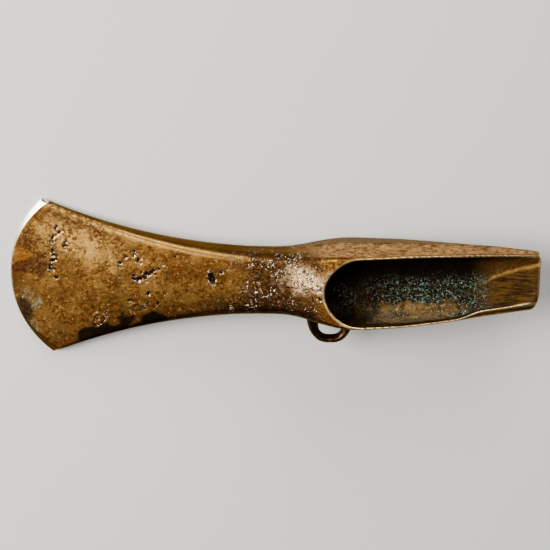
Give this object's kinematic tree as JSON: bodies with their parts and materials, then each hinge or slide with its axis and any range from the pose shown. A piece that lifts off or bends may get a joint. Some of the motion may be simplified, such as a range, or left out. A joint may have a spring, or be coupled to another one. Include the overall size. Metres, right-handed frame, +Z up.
{
  "type": "bronze age looped palstave axe head",
  "caption": "Cast bronze palstave: an axe head with a flared crescent blade, flanged haft beds rounded at their stop, and a lashing loop.",
  "frame": {"origin": "centre of the underside of the bounding box, on the surface that the loose axe head lies on", "axes": "+X from the cutting edge towards the butt, +Y across the blade away from the loop, +Z up from the broad face that it lies on"},
  "size_m": [0.1638, 0.0494, 0.0294],
  "materials": {
    "bronze": "satin"
  },
  "bodies": {
    "root": {"axe_head": "bronze"}
  },
  "joints": []
}
